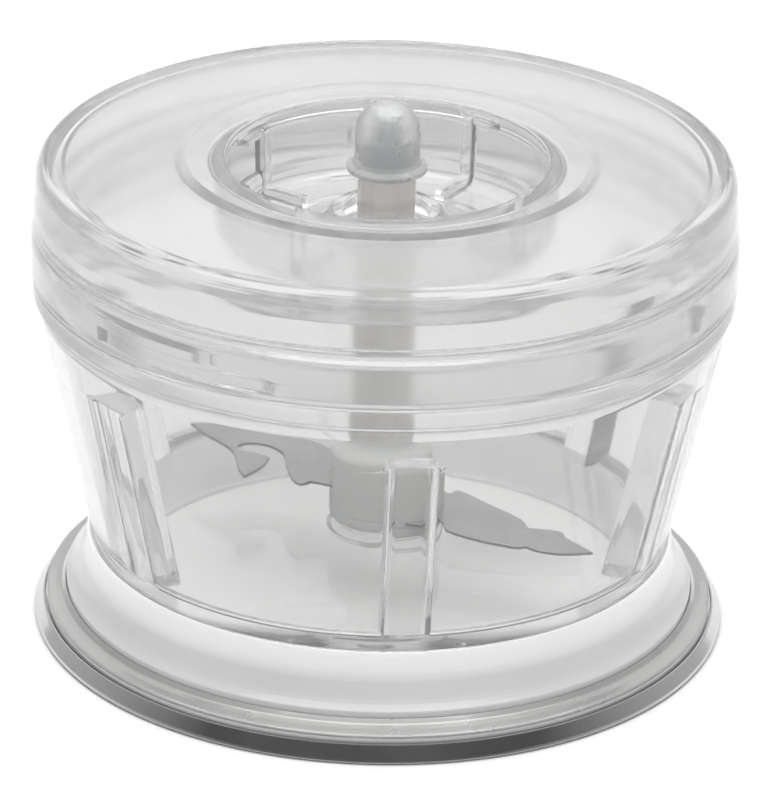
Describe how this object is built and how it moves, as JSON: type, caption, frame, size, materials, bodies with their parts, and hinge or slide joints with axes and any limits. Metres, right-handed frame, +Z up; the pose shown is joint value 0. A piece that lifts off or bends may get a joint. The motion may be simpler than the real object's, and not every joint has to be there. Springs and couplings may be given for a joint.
{
  "type": "food processor",
  "caption": "Clear chopper bowl for a hand blender, with a turn-to-lock lid with a motor well, a lift-out blade unit and a rubber-edged base ring.",
  "frame": {"origin": "centre of the foot ring's underside, on the surface that the base stands on", "axes": "+Z up along the spindle; -Y towards the front view; the blades lie near 154 and 334 degrees from +X"},
  "size_m": [0.13, 0.13, 0.1024],
  "materials": {
    "clear_plastic": "clear, polished",
    "base_plastic": "clear with a milky cast, polished",
    "trim_grey": "satin grey",
    "dark_rubber": "smooth, slightly glossy",
    "pin_steel": "ground",
    "nylon": "natural nylon",
    "hub_plastic": "moulded, light grey",
    "blade_steel": "stamped and ground",
    "spindle_steel": "satin",
    "shaft_steel": "satin",
    "cap_nylon": "milky, translucent",
    "clear_silicone": "translucent"
  },
  "bodies": {
    "base": {"base_dish": "base_plastic", "trim_ring": "trim_grey", "foot_ring": "dark_rubber"},
    "bowl_body": {"bowl": "clear_plastic", "pivot_pin": "pin_steel"},
    "pivot": {"pivot_sleeve": "nylon"},
    "blade_unit": {"hub_bush": "nylon", "hub_cap": "hub_plastic", "lower_blade": "blade_steel", "blade_spacer": "nylon", "upper_blade": "blade_steel", "blade_hub": "hub_plastic", "spindle_tube": "spindle_steel", "spindle_sleeve": "spindle_steel", "drive_shaft": "shaft_steel", "drive_cap": "cap_nylon"},
    "seal": {"lid_seal": "clear_silicone"},
    "lid": {"lid_shell": "clear_plastic", "motor_well": "clear_plastic"}
  },
  "joints": [
    {"name": "bowl_lift", "type": "slide", "parent": "base", "child": "bowl_body", "axis": [0, 0, 1], "range_m": [0, 0.1]},
    {"name": "blade_lift", "type": "slide", "parent": "bowl_body", "child": "pivot", "axis": [0, 0, 1], "range_m": [0, 0.09]},
    {"name": "blade_spin", "type": "hinge", "parent": "pivot", "child": "blade_unit", "pos_m": [0, 0, 0.03], "axis": [0, 0, 1], "continuous": true},
    {"name": "lid_lift", "type": "slide", "parent": "pivot", "child": "seal", "axis": [0, 0, 1], "range_m": [0, 0.06]},
    {"name": "lid_turn", "type": "hinge", "parent": "seal", "child": "lid", "pos_m": [0, 0, 0.077], "axis": [0, 0, 1], "range_deg": [-25, 0]}
  ]
}
